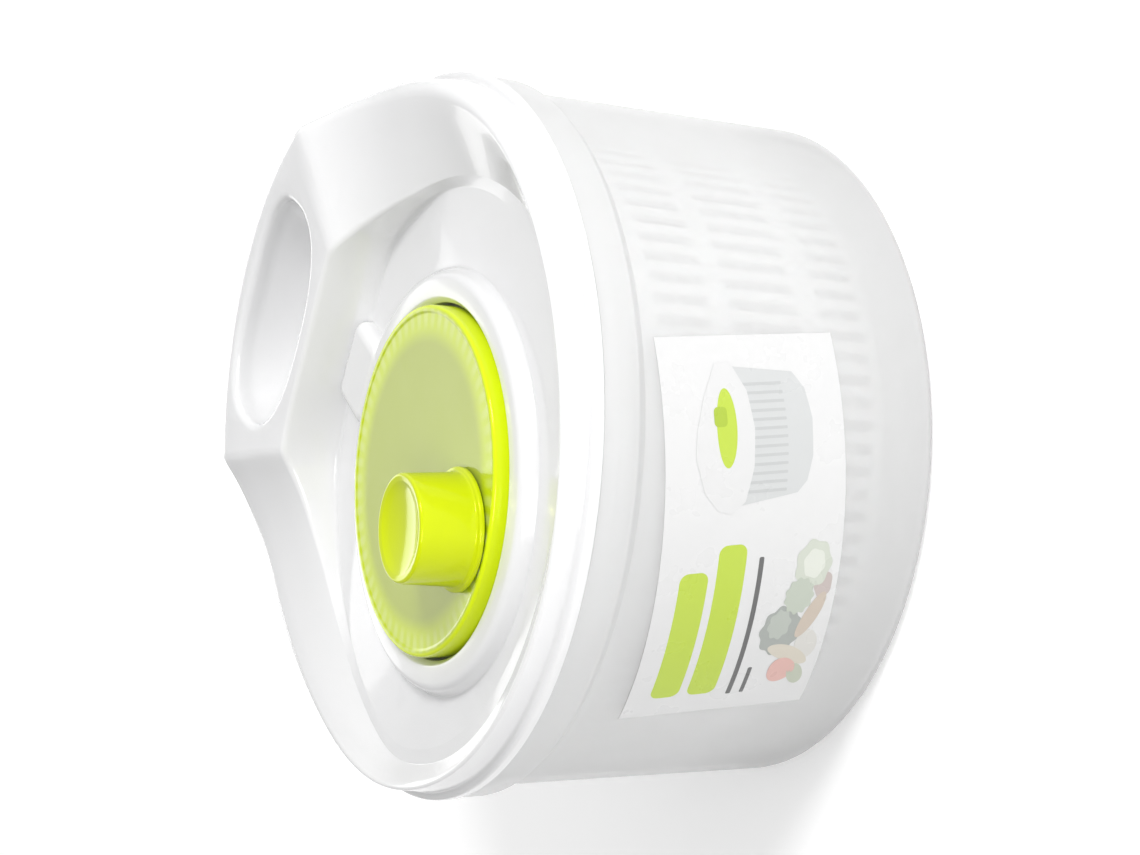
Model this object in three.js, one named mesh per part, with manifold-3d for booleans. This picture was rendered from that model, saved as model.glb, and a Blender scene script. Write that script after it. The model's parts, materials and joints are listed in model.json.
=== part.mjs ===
// Hand-cranked salad spinner: frosted bowl, slotted basket, white lid with a raised grip and a geared
// crank. Millimetres, +Z up. The origin is the centre of the bowl's base and the grip lies towards +Y.
import * as THREE from 'three';
import { mergeVertices } from 'three/addons/utils/BufferGeometryUtils.js';
import Module from 'manifold-3d';

const wasm = await Module();
wasm.setup();

// ---------- driving dimensions ----------
const GAP = 0.3; // between parts that rest on each other
const RUNNING = 0.1; // radial clearance of a turning shaft
const SNUG = 0.2; // radial clearance of a clip or a snapped-in body
const EASE = 0.5; // chamfer that takes off a sharp edge
const ROOT = 0.5; // how deep an added feature is rooted in the wall that it grows from
const PAST = 1; // how far a cutter runs past the faces that it opens
const ROUND = 48; // facets round the bowl, basket and lid
const WELL_ROUND = 32; // facets round the finger well
const SMALL_ROUND = 24; // facets round the knob, the shafts and their bushes
const TINY_ROUND = 12; // facets round a screw

const BOWL = {
  height: 106.5, footRadius: 95.3, baseRadius: 98.7, shoulderRadius: 101.3, collarFoot: 93.8,
  collarRadius: 104.5, wall: 1.8, postRadius: 3.5, postTop: 10.6, postFlare: 1.5,
};
const LABEL = { tilt: 5.3, bearing: -74, middle: 56.5, width: 105.4, height: 56, lift: 0.08, thickness: 0.2 };
const BASKET = {
  floor: 9, top: 97.8, wall: 1.8, footRadius: 90.2, mouthRadius: 93.6, lipRadius: 97.2, lip: 1.6,
  cornerRadius: 6, tiers: [[15.5, 29.5], [36.8, 59.4], [65.7, 83]], slotsPerTier: 24, slotWidth: 9,
  floorSlots: 12, floorSlotInner: 30, floorSlotOuter: 76, floorSlotWidth: 6, hub: 6.6,
};
const PIVOT = { flangeRadius: 9.4, flange: 1.8, foot: 5.2, top: 13, clipRadius: 9.5, clip: 1.3 };
const LID = {
  floorTop: 113, wall: 2.2, flangeRadius: 105, flangeFoot: 106.8, shoulderRadius: 102.7,
  shoulderFoot: 109.8, lean: 0.1, fillet: 2.6, plugRadius: 101.5, plugInner: 99.4, plugFoot: 100,
  bowlOfFloor: 82.7, frontOfFloor: 90, gripFront: 50, gripTop: 138, wallDraft: 0.09, lip: 0.4,
  rimTurn: 0.9, ridgeTurn: 2, // degrees that the grip sits off the +Y direction, towards -X
};
// Height of the lid's outer rim against the angle from the grip's middle, in degrees.
const RIM_STATIONS = [[0, LID.gripTop], [34, LID.gripTop], [45, 129.8], [55, 124.9], [70, 122.6],
  [90, 121], [120, 120], [150, 117.8], [180, 116.6]];
// Height of the ridge where the rim's top meets the sunken floor, by the angle about the crank.
const RIDGE_STATIONS = [[0, 131], [24, 131], [34, 123.5], [45, 119], [55, 116], [65, 114.2], [80, 113.4],
  [180, 113.4]];
const WELL = {
  x: -3.3, y: 76, halfWidth: 38.5, halfDepth: 18.5, power: 2.6, floor: 113.5, full: 137,
  footScale: 0.84, wall: 2,
};
const TAB = { x: -2.5, width: 25, front: 28.5, back: 51, top: 118 };
const POCKET = {
  radius: 51.2, collarRadius: 60.2, collarTop: 117.5, collarEdge: 3.2, floorTop: 109.9, wall: 2.2,
};

const GEAR = {
  module: 1.5, ringTeeth: 60, pinionTeeth: 26, pressure: 20, backlash: 0.25, tip: 0.95, root: 1.2,
  pinionFoot: 111.3, pinionTop: 115,
};
const RING_PITCH = GEAR.module * GEAR.ringTeeth / 2;
const PINION_PITCH = GEAR.module * GEAR.pinionTeeth / 2;
const CRANK_Y = PINION_PITCH - RING_PITCH; // the crank's axis stands this far towards the front
const CRANK = {
  radius: 49.3, top: 120.6, plate: 118.8, foot: 111.8, skirt: 1, edge: 1.5, hub: 8, hubFoot: 115.6,
  railInner: 47, railOuter: 49.5,
};
const SHAFT = { radius: 4, crankFoot: 107, crankCore: 115.2, driveFoot: 100.3, driveCore: 109.3, pilot: 1.7 };
const BUSH = { bodyRadius: 6, flangeRadius: 8, flange: 0.8, length: 2.5 };
const KNOB = {
  x: 4, y: CRANK_Y - 31, foot: 120.9, top: 138.6, footRadius: 15.5, topRadius: 14.8, wall: 2.2,
  crown: 3.6, dish: 2, bead: 1, flangeRadius: 17, flange: 1.4, stemFoot: 116.2, neck: 2.5, clipRadius: 7,
};
const COVER = {
  radius: 98.9, foot: 102.2, top: 103.8, hole: 9, bossRadius: 4.2, screwHole: 1.6, pilot: 1.5,
  pilotTop: 109.5,
};
const COVER_SCREWS = [[63.9, -2.2], [-63.9, -2.2], [-39, -81.2], [39, -81.2]];
const DRIVE = {
  radius: 96, foot: 98.2, top: 100, lugs: 4, lugWidth: 13, lugInner: 91.8, lugOuter: 94.2, lugFoot: 95,
  hub: 8, hubHeight: 3.5,
};
const SMALL_SCREW = { headRadius: 3, head: 1.5, shank: 1.25 };
const SHAFT_SCREW = { headRadius: 3.4, head: 1.3, shank: 1.45 };
const SCREW_TIPS = { cover: 109, crank: 114, drive: 108 };
const WASHER = { inner: 1.8, outer: 7.5, thickness: 0.8 };

// ---------- colours ----------
const WHITE = new THREE.MeshStandardMaterial({ color: 0xf6f7f6, roughness: 0.22, metalness: 0 });
const FROSTED = new THREE.MeshStandardMaterial({ color: 0xe9ebeb, roughness: 0.5, metalness: 0 });
const NATURAL = new THREE.MeshStandardMaterial({ color: 0xf0f1f0, roughness: 0.45, metalness: 0 });
const LIME = new THREE.MeshStandardMaterial({ color: 0xb9d72f, roughness: 0.25, metalness: 0 });
const ACETAL = new THREE.MeshStandardMaterial({ color: 0xe2e2dc, roughness: 0.4, metalness: 0 });
const STEEL = new THREE.MeshStandardMaterial({ color: 0xb9bcc0, roughness: 0.3, metalness: 1 });
const PAPER = new THREE.MeshStandardMaterial({ color: 0xfafafa, roughness: 0.35, metalness: 0 });

// ---------- solids ----------
function solidFrom(geometry) {
  geometry.deleteAttribute('normal');
  geometry.deleteAttribute('uv');
  const merged = mergeVertices(geometry, 1e-4);
  const vertProperties = merged.attributes.position.array;
  const triVerts = new Uint32Array(merged.index.array);
  return new wasm.Manifold(new wasm.Mesh({ numProp: 3, vertProperties, triVerts }));
}

function geometryFrom(solid) {
  const { vertProperties, triVerts } = solid.getMesh();
  const geometry = new THREE.BufferGeometry();
  geometry.setAttribute('position', new THREE.BufferAttribute(vertProperties, 3));
  geometry.setIndex(new THREE.BufferAttribute(triVerts, 1));
  geometry.computeVertexNormals();
  return geometry;
}

// Points [radius, height] of an arc about a centre, angles in degrees from the outward direction.
function arc(radius, centreRadius, centreHeight, from, to, steps) {
  const points = [];
  for (let i = 0; i <= steps; i++) {
    const angle = THREE.MathUtils.degToRad(from + (to - from) * i / steps);
    points.push([centreRadius + radius * Math.cos(angle), centreHeight + radius * Math.sin(angle)]);
  }
  return points;
}

// A profile of [radius, height] points turned about a vertical axis at x, y.
function turned(profile, facets, x = 0, y = 0) {
  const points = profile.map(([radius, height]) => new THREE.Vector2(radius, height));
  const geometry = new THREE.LatheGeometry(points, facets);
  return solidFrom(geometry.rotateX(Math.PI / 2).translate(x, y, 0));
}

function disc(radius, bottom, top, facets, x = 0, y = 0) {
  return turned([[0, bottom], [radius, bottom], [radius, top], [0, top]], facets, x, y);
}

function ring(inner, outer, bottom, top, facets, x = 0, y = 0) {
  const section = [[inner, bottom], [outer, bottom], [outer, top], [inner, top], [inner, bottom]];
  return turned(section, facets, x, y);
}

function extruded(outline, bottom, top) {
  const shape = new THREE.Shape(outline.map(([x, y]) => new THREE.Vector2(x, y)));
  const geometry = new THREE.ExtrudeGeometry(shape, { depth: top - bottom, bevelEnabled: false });
  return solidFrom(geometry.translate(0, 0, bottom));
}

// A box that spans inner to outer along a spoke at the given angle in degrees.
function spoke(inner, outer, width, bottom, top, angle) {
  const geometry = new THREE.BoxGeometry(outer - inner, width, top - bottom);
  geometry.translate((inner + outer) / 2, 0, (bottom + top) / 2);
  return solidFrom(geometry.rotateZ(THREE.MathUtils.degToRad(angle)));
}

// A screw pointing up, with its head's bearing face at the given height.
function screw({ headRadius, head, shank }, face, tip, x = 0, y = 0) {
  const profile = [[0, face - head], [headRadius - 2 * EASE, face - head], [headRadius, face - head + EASE],
    [headRadius, face], [shank, face], [shank, tip - shank], [0, tip]];
  return turned(profile, TINY_ROUND, x, y);
}

// ---------- bowl and label ----------
const BOWL_CORNER = BOWL.baseRadius - BOWL.footRadius;

function bowlWallRadius(height) {
  const rise = (height - BOWL_CORNER) / (BOWL.collarFoot - BOWL_CORNER);
  return BOWL.baseRadius + (BOWL.shoulderRadius - BOWL.baseRadius) * rise;
}

function makeBowl() {
  const { height, footRadius, baseRadius, shoulderRadius, collarFoot, collarRadius, wall } = BOWL;
  const { postRadius, postTop, postFlare } = BOWL;
  const innerCorner = BOWL_CORNER - wall / 2;
  return turned([
    [0, 0],
    ...arc(BOWL_CORNER, footRadius, BOWL_CORNER, -90, 0, 3),
    [shoulderRadius, collarFoot],
    [collarRadius - EASE, collarFoot + EASE],
    [collarRadius, height - EASE],
    [collarRadius - EASE, height],
    [collarRadius - wall + EASE, height],
    [collarRadius - wall, height - EASE],
    [collarRadius - wall - EASE, collarFoot + wall],
    [shoulderRadius - wall, collarFoot + EASE],
    ...arc(innerCorner, baseRadius - wall - innerCorner, wall + innerCorner, 0, -90, 2),
    [postRadius + postFlare, wall],
    [postRadius, wall + postFlare],
    [postRadius, postTop - EASE],
    [postRadius - EASE, postTop],
    [0, postTop],
  ], ROUND);
}

// A thin skin on the bowl's front, cut to a rectangle that sits slightly askew.
function makeLabel() {
  const { bearing, middle, width, height, lift, thickness } = LABEL;
  const tilt = THREE.MathUtils.degToRad(LABEL.tilt);
  const reach = (height + width * Math.sin(tilt)) / 2 + PAST;
  const low = middle - reach;
  const high = middle + reach;
  const inner = (level) => bowlWallRadius(level) + lift;
  const skin = turned([
    [inner(low), low],
    [inner(low) + thickness, low],
    [inner(high) + thickness, high],
    [inner(high), high],
    [inner(low), low],
  ], ROUND);
  const sheet = new THREE.BoxGeometry(BOWL.collarRadius, width, height);
  sheet.rotateX(tilt);
  sheet.translate(BOWL.collarRadius, 0, middle);
  sheet.rotateZ(THREE.MathUtils.degToRad(bearing));
  return skin.intersect(solidFrom(sheet));
}

// ---------- basket and its bush ----------
function makeBasket() {
  const { floor, top, wall, footRadius, mouthRadius, lipRadius, lip, cornerRadius, hub } = BASKET;
  const innerCorner = cornerRadius - wall;
  let basket = turned([
    [hub, floor],
    ...arc(cornerRadius, footRadius - cornerRadius, floor + cornerRadius, -90, 0, 2),
    [mouthRadius, top - lip - EASE],
    [mouthRadius + EASE, top - lip],
    [lipRadius, top - lip],
    [lipRadius, top],
    [mouthRadius - wall, top],
    ...arc(innerCorner, footRadius - wall - innerCorner, floor + wall + innerCorner, 0, -90, 2),
    [hub, floor + wall],
    [hub, floor],
  ], ROUND);
  for (const [bottom, slotTop] of BASKET.tiers) {
    for (let i = 0; i < BASKET.slotsPerTier; i++) {
      const angle = 360 * (i + 0.25) / BASKET.slotsPerTier;
      basket = basket.subtract(
        spoke(footRadius - cornerRadius, mouthRadius + PAST, BASKET.slotWidth, bottom, slotTop, angle));
    }
  }
  for (let i = 0; i < BASKET.floorSlots; i++) {
    const { floorSlotInner, floorSlotOuter, floorSlotWidth } = BASKET;
    const angle = 360 * (i + 0.5) / BASKET.floorSlots;
    basket = basket.subtract(spoke(
      floorSlotInner, floorSlotOuter, floorSlotWidth, floor - PAST, floor + wall + PAST, angle));
  }
  for (let i = 0; i < DRIVE.lugs; i++) {
    const notch = spoke(mouthRadius - wall - PAST, DRIVE.lugOuter + EASE, DRIVE.lugWidth + 2 * EASE,
      DRIVE.lugFoot - GAP, top + PAST, 360 * i / DRIVE.lugs);
    basket = basket.subtract(notch);
  }
  return basket;
}

// The captive bush that sits on the bowl's post and carries the basket.
function makePivotBush() {
  const { flangeRadius, flange, foot, top } = PIVOT;
  const bore = BOWL.postRadius + RUNNING;
  const body = BASKET.hub - SNUG;
  const flangeTop = BASKET.floor - GAP;
  return turned([
    [0, BOWL.postTop + GAP],
    [bore, BOWL.postTop + GAP],
    [bore, foot],
    [body, foot],
    [body, flangeTop - flange],
    [flangeRadius, flangeTop - flange],
    [flangeRadius, flangeTop],
    [body, flangeTop],
    [body, top],
    [0, top],
  ], SMALL_ROUND);
}

function makeBushClip() {
  const bottom = BASKET.floor + BASKET.wall + GAP;
  return ring(BASKET.hub, PIVOT.clipRadius, bottom, bottom + PIVOT.clip, SMALL_ROUND);
}

// ---------- lid ----------
// A smooth curve of value against angle through hand-set stations.
function along(stations, angle) {
  let i = 1;
  while (i < stations.length - 1 && stations[i][0] < angle) i++;
  const slope = (k) => {
    const before = stations[Math.max(k - 1, 0)];
    const after = stations[Math.min(k + 1, stations.length - 1)];
    return k === 0 || k === stations.length - 1 ? 0 : (after[1] - before[1]) / (after[0] - before[0]);
  };
  const [from, low] = stations[i - 1];
  const [to, high] = stations[i];
  const span = to - from;
  const t = (angle - from) / span;
  const t2 = t * t;
  const t3 = t * t * t;
  const start = low === high ? 0 : slope(i - 1);
  const end = low === high ? 0 : slope(i);
  return (2 * t3 - 3 * t2 + 1) * low + (t3 - 2 * t2 + t) * span * start
    + (3 * t2 - 2 * t3) * high + (t3 - t2) * span * end;
}

// Distance from the lid's axis to the edge of the sunken floor, in the direction angle from +Y.
function floorEdge(angle) {
  const c = Math.cos(angle);
  const circle = CRANK_Y * c + Math.sqrt(LID.bowlOfFloor ** 2 - (CRANK_Y * Math.sin(angle)) ** 2);
  const chord = c > 0 ? LID.gripFront / c : Infinity;
  return Math.min(circle, chord, LID.frontOfFloor);
}

// The lid's section at an angle from +Y: outer skin from the axis out, then the inner skin back.
function lidSection(angle, hollow) {
  const { floorTop, wall, flangeRadius, flangeFoot, shoulderRadius, shoulderFoot, lean, fillet } = LID;
  const edge = floorEdge(angle);
  const aboutCrank = Math.atan2(edge * Math.sin(angle), edge * Math.cos(angle) - CRANK_Y);
  const ridge = along(RIDGE_STATIONS, Math.abs(THREE.MathUtils.radToDeg(aboutCrank) + LID.ridgeTurn));
  const rim = along(RIM_STATIONS, Math.abs(THREE.MathUtils.radToDeg(angle) + LID.rimTurn));
  const ridgeRadius = edge + (ridge - floorTop) * LID.wallDraft + LID.lip;
  const filletRadius = shoulderRadius - (rim - fillet - shoulderFoot) * lean - fillet;
  const outer = [
    [0, floorTop],
    [edge, floorTop],
    [ridgeRadius, ridge],
    ...arc(fillet, filletRadius, rim - fillet, 90, 0, 2),
    [shoulderRadius, shoulderFoot],
    [flangeRadius - EASE, shoulderFoot - EASE],
    [flangeRadius, shoulderFoot - 2 * EASE],
    [flangeRadius, flangeFoot + EASE],
    [flangeRadius - EASE, flangeFoot],
  ];
  if (!hollow) return [...outer, [0, flangeFoot]].reverse();
  return [
    ...outer,
    [LID.plugRadius, flangeFoot],
    [LID.plugRadius, LID.plugFoot + EASE],
    [LID.plugRadius - EASE, LID.plugFoot],
    [LID.plugInner, LID.plugFoot],
    [LID.plugInner, flangeFoot],
    [shoulderRadius - wall, shoulderFoot],
    [filletRadius + fillet - wall, rim - fillet],
    [filletRadius, rim - wall],
    [ridgeRadius + wall, ridge - wall],
    [edge + wall, floorTop - wall],
    [0, floorTop - wall],
  ].reverse();
}

// The lid's section turned about the axis, with every facet's section shaped for its own angle.
function lidShell(hollow) {
  const rows = lidSection(0, hollow).map(([radius, height]) => new THREE.Vector2(radius, height));
  const geometry = new THREE.LatheGeometry(rows, ROUND);
  const position = geometry.attributes.position;
  for (let i = 0; i <= ROUND; i++) {
    const angle = Math.PI - 2 * Math.PI * (i % ROUND) / ROUND;
    lidSection(angle, hollow).forEach(([radius, height], row) => {
      position.setXYZ(i * rows.length + row, radius * Math.sin(angle), height, -radius * Math.cos(angle));
    });
  }
  return solidFrom(geometry.rotateX(Math.PI / 2));
}

// The grip's oval finger well, drafted inwards towards its floor, grown all round by a margin.
function wellSolid(margin, bottom, top) {
  const geometry = new THREE.CylinderGeometry(1, 1, top - bottom, WELL_ROUND);
  geometry.rotateX(Math.PI / 2).rotateZ(Math.PI / WELL_ROUND);
  geometry.translate(0, 0, (bottom + top) / 2);
  const position = geometry.attributes.position;
  const curve = (value) => Math.sign(value) * Math.abs(value) ** (2 / WELL.power);
  for (let i = 0; i < position.count; i++) {
    const height = position.getZ(i);
    const scale = THREE.MathUtils.mapLinear(height, WELL.floor, WELL.full, WELL.footScale, 1);
    const x = curve(position.getX(i)) * (WELL.halfWidth * scale + margin);
    const y = curve(position.getY(i)) * (WELL.halfDepth * scale + margin);
    position.setXYZ(i, WELL.x + x, WELL.y + y, height);
  }
  return solidFrom(geometry);
}

// The collar that stands round the crank, with the pocket's floor below it.
function crankCollar() {
  const { radius, collarRadius, collarTop, collarEdge, floorTop, wall } = POCKET;
  const under = LID.floorTop - LID.wall + ROOT;
  return turned([
    [0, floorTop - wall],
    [radius + wall, floorTop - wall],
    [radius + wall, under],
    [collarRadius, under],
    ...arc(collarEdge, collarRadius - collarEdge, collarTop - collarEdge, 0, 90, 2),
    [radius + EASE, collarTop],
    [radius, collarTop - EASE],
    [0, collarTop - EASE],
  ], ROUND, 0, CRANK_Y);
}

// The raised tab between the collar and the grip.
function tabSolid() {
  const foot = LID.floorTop - ROOT;
  const geometry = new THREE.BoxGeometry(TAB.width, TAB.back - TAB.front, TAB.top - foot);
  return solidFrom(geometry.translate(TAB.x, (TAB.back + TAB.front) / 2, (TAB.top + foot) / 2));
}

function makeLid() {
  const { radius, collarTop, floorTop, wall } = POCKET;
  const { gripTop } = LID;
  let lid = lidShell(true);
  lid = lid.add(wellSolid(WELL.wall, WELL.floor - WELL.wall, gripTop + PAST).intersect(lidShell(false)));
  lid = lid.subtract(wellSolid(0, WELL.floor, gripTop + 2 * PAST));
  lid = lid.add(tabSolid()).add(crankCollar());
  lid = lid.subtract(disc(radius, floorTop, collarTop + 2 * PAST, ROUND, 0, CRANK_Y));
  lid = lid.add(
    ring(CRANK.railInner, CRANK.railOuter, floorTop - ROOT, CRANK.foot - GAP, ROUND, 0, CRANK_Y));
  for (const y of [0, CRANK_Y]) {
    lid = lid.subtract(
      disc(BUSH.bodyRadius + GAP, floorTop - wall - PAST, floorTop + PAST, SMALL_ROUND, 0, y));
  }
  for (const [x, y] of COVER_SCREWS) {
    lid = lid.add(disc(COVER.bossRadius, COVER.top + GAP, LID.floorTop - ROOT, TINY_ROUND, x, y));
    lid = lid.subtract(disc(COVER.pilot, COVER.top, COVER.pilotTop, TINY_ROUND, x, y));
  }
  return lid;
}

function makeInnerCover() {
  let cover = ring(COVER.hole, COVER.radius, COVER.foot, COVER.top, ROUND);
  for (const [x, y] of COVER_SCREWS) {
    cover = cover.subtract(
      disc(COVER.screwHole, COVER.foot - PAST, COVER.top + PAST, TINY_ROUND, x, y));
  }
  return cover;
}

// ---------- gears ----------
function involute(angle) {
  return Math.tan(angle) - angle;
}

// Outline of a gear with a tooth centred on +Y. A negative backlash widens the teeth, for a cutter.
function gearOutline(teeth, addendum, dedendum, backlash, flankPoints) {
  const pitch = GEAR.module * teeth / 2;
  const pressure = THREE.MathUtils.degToRad(GEAR.pressure);
  const base = pitch * Math.cos(pressure);
  const halfTooth = Math.PI / (2 * teeth) - backlash / (2 * pitch);
  const halfAt = (radius) => {
    const slant = Math.acos(Math.min(base / radius, 1));
    return halfTooth + involute(pressure) - involute(slant);
  };
  const radii = [];
  for (let k = 0; k < flankPoints; k++) {
    radii.push(pitch - dedendum + (addendum + dedendum) * k / (flankPoints - 1));
  }
  const outline = [];
  for (let i = 0; i < teeth; i++) {
    const middle = Math.PI / 2 + 2 * Math.PI * i / teeth;
    for (const radius of radii) {
      const angle = middle - halfAt(radius);
      outline.push([radius * Math.cos(angle), radius * Math.sin(angle)]);
    }
    for (const radius of [...radii].reverse()) {
      const angle = middle + halfAt(radius);
      outline.push([radius * Math.cos(angle), radius * Math.sin(angle)]);
    }
  }
  return outline;
}

function makePinion() {
  const { module: size, pinionTeeth, backlash, tip, root, pinionFoot, pinionTop } = GEAR;
  const teeth = extruded(
    gearOutline(pinionTeeth, size * tip, size * root, backlash, 3), pinionFoot, pinionTop);
  const shaft = disc(SHAFT.radius, SHAFT.driveFoot, pinionFoot + ROOT, SMALL_ROUND);
  const pilot = disc(SHAFT.pilot, SHAFT.driveFoot - PAST, SHAFT.driveCore, TINY_ROUND);
  return teeth.add(shaft).subtract(pilot);
}

function makeRingGear() {
  const { module: size, ringTeeth, backlash, tip, root } = GEAR;
  const outer = CRANK.radius - CRANK.skirt - GAP;
  const blank = disc(outer, CRANK.foot, CRANK.plate - GAP, ROUND);
  const space = extruded(gearOutline(ringTeeth, size * root, size * tip, -backlash, 2),
    CRANK.foot - PAST, CRANK.plate + PAST);
  return blank.subtract(space);
}

// ---------- crank ----------
function makeCrankDisc() {
  const { radius, top, plate, foot, skirt, edge, hub, hubFoot } = CRANK;
  const { crankFoot, crankCore, pilot } = SHAFT;
  const body = turned([
    [0, crankCore],
    [pilot, crankCore],
    [pilot, crankFoot],
    [SHAFT.radius, crankFoot],
    [SHAFT.radius, hubFoot],
    [hub, hubFoot],
    [hub, plate],
    [radius - skirt, plate],
    [radius - skirt, foot],
    [radius, foot],
    ...arc(edge, radius - edge, top - edge, 0, 90, 3),
    [0, top],
  ], ROUND, 0, CRANK_Y);
  return body.subtract(
    disc(SHAFT.radius + RUNNING, plate - PAST, top + PAST, SMALL_ROUND, KNOB.x, KNOB.y));
}

function makeKnob() {
  const { foot, top, footRadius, topRadius, flangeRadius, flange, wall, crown, dish, bead } = KNOB;
  const { stemFoot, neck } = KNOB;
  return turned([
    [0, stemFoot],
    [neck, stemFoot],
    [neck, CRANK.plate - GAP],
    [SHAFT.radius, CRANK.plate - GAP],
    [SHAFT.radius, top - crown],
    [topRadius - wall, top - crown],
    [footRadius - wall, foot],
    [flangeRadius, foot],
    [flangeRadius, foot + flange - EASE],
    [flangeRadius - EASE, foot + flange],
    [footRadius, foot + flange],
    ...arc(bead, topRadius - bead, top - bead, 0, 90, 3),
    [topRadius - 2 * bead, top - bead / 3],
    [topRadius - 3 * bead, top - bead],
    [0, top - dish],
  ], SMALL_ROUND, KNOB.x, KNOB.y);
}

function makeKnobClip() {
  const { x, y, neck, clipRadius, stemFoot } = KNOB;
  return ring(neck + SNUG, clipRadius, stemFoot + GAP, CRANK.plate - 2 * GAP, SMALL_ROUND, x, y);
}

// A flanged sleeve that lines a shaft hole in the pocket's floor.
function makeShaftBush(y) {
  const { bodyRadius, flangeRadius, flange, length } = BUSH;
  const bore = SHAFT.radius + RUNNING;
  const foot = POCKET.floorTop - length;
  const flangeFoot = POCKET.floorTop + GAP;
  return turned([
    [bore, foot],
    [bodyRadius, foot],
    [bodyRadius, flangeFoot],
    [flangeRadius, flangeFoot],
    [flangeRadius, flangeFoot + flange],
    [bore, flangeFoot + flange],
    [bore, foot],
  ], SMALL_ROUND, 0, y);
}

function makeDrivePlate() {
  const { radius, foot, top, lugs, lugWidth, lugInner, lugOuter, lugFoot, hub, hubHeight } = DRIVE;
  const bore = SHAFT.pilot + RUNNING;
  const socket = SHAFT.radius + GAP;
  let plate = turned([
    [bore, foot],
    [radius, foot],
    [radius, top],
    [hub, top],
    [hub, top + hubHeight],
    [socket, top + hubHeight],
    [socket, top],
    [bore, top],
    [bore, foot],
  ], ROUND);
  for (let i = 0; i < lugs; i++) {
    plate = plate.add(spoke(lugInner, lugOuter, lugWidth, lugFoot, foot + ROOT, 360 * i / lugs));
  }
  return plate;
}

// ---------- assembly ----------
const spinner = new THREE.Group();

function place(name, solid, material) {
  const mesh = new THREE.Mesh(geometryFrom(solid), material);
  mesh.name = name;
  spinner.add(mesh);
  return mesh;
}

// The washer and screw that hold something on a shaft, below its lower face.
function placeShaftScrew(prefix, face, tip, y) {
  const { inner, outer, thickness } = WASHER;
  const washerTop = face - GAP;
  const washerFoot = washerTop - thickness;
  place(`${prefix}_washer`, ring(inner, outer, washerFoot, washerTop, SMALL_ROUND, 0, y), STEEL);
  place(`${prefix}_screw`, screw(SHAFT_SCREW, washerFoot - GAP, tip, 0, y), STEEL);
}

place('bowl', makeBowl(), FROSTED);
place('label', makeLabel(), PAPER);
place('pivot_bush', makePivotBush(), ACETAL);
place('bush_clip', makeBushClip(), ACETAL);
place('basket', makeBasket(), NATURAL);

place('lid', makeLid(), WHITE);
place('inner_cover', makeInnerCover(), WHITE);
place('crank_bush', makeShaftBush(CRANK_Y), ACETAL);
place('drive_bush', makeShaftBush(0), ACETAL);
COVER_SCREWS.forEach(([x, y], i) => {
  place(`cover_screw_${i + 1}`, screw(SMALL_SCREW, COVER.foot - GAP, SCREW_TIPS.cover, x, y), STEEL);
});

place('crank_disc', makeCrankDisc(), LIME);
place('ring_gear', makeRingGear(), LIME).position.y = CRANK_Y;
placeShaftScrew('crank', SHAFT.crankFoot, SCREW_TIPS.crank, CRANK_Y);

place('knob', makeKnob(), LIME);
place('knob_clip', makeKnobClip(), STEEL);

place('pinion', makePinion(), ACETAL);
place('drive_plate', makeDrivePlate(), NATURAL);
placeShaftScrew('drive', DRIVE.foot, SCREW_TIPS.drive, 0);

export default spinner;
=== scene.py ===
"""Looks for the salad spinner: fine meshes, procedural materials, a pale floor, studio light and a camera.

Lengths in the profile tables are millimetres in the row frame: +Z up, +Y towards the lid's grip.
"""
import json
import math

import bmesh
import bpy
import numpy as np
from mathutils import Matrix, Vector


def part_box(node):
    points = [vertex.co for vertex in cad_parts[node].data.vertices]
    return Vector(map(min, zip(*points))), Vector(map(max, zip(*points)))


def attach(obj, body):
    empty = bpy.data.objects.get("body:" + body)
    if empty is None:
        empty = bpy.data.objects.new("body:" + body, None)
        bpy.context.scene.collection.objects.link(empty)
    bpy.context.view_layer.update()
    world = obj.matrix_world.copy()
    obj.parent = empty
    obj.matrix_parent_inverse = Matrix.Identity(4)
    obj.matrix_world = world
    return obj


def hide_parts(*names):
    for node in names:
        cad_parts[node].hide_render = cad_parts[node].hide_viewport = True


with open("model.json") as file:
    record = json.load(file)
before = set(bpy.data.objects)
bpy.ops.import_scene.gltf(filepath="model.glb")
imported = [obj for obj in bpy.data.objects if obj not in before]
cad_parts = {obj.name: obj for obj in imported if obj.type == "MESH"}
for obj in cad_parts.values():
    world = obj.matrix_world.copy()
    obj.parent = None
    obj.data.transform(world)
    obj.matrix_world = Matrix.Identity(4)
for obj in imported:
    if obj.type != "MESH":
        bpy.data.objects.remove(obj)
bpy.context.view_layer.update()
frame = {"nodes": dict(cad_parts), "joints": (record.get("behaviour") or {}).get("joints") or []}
MM = 0.001
JOINTS = {joint["name"]: joint for joint in frame["joints"]}


def high_mm(node):
    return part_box(node)[1] / MM


def low_mm(node):
    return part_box(node)[0] / MM


# ---------- sizes taken from the frame ----------
BOWL_RADIUS = high_mm("bowl").x
BOWL_TOP = high_mm("bowl").z
LID_RADIUS = high_mm("lid").x
LID_TOP = high_mm("lid").z
PLUG_FOOT = low_mm("lid").z
CRANK_CENTRE = Vector(JOINTS["crank_spin"]["pos_m"]) / MM
CRANK_RADIUS = high_mm("crank_disc").x
KNOB_CENTRE = Vector(JOINTS["knob_spin"]["pos_m"]) / MM
KNOB_TOP = high_mm("knob").z
BASKET_TOP = high_mm("basket").z
BASKET_LIP = high_mm("basket").x
BASKET_FLOOR = low_mm("basket").z
DRIVE_RADIUS = high_mm("drive_plate").x
COVER_RADIUS = high_mm("inner_cover").x

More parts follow.
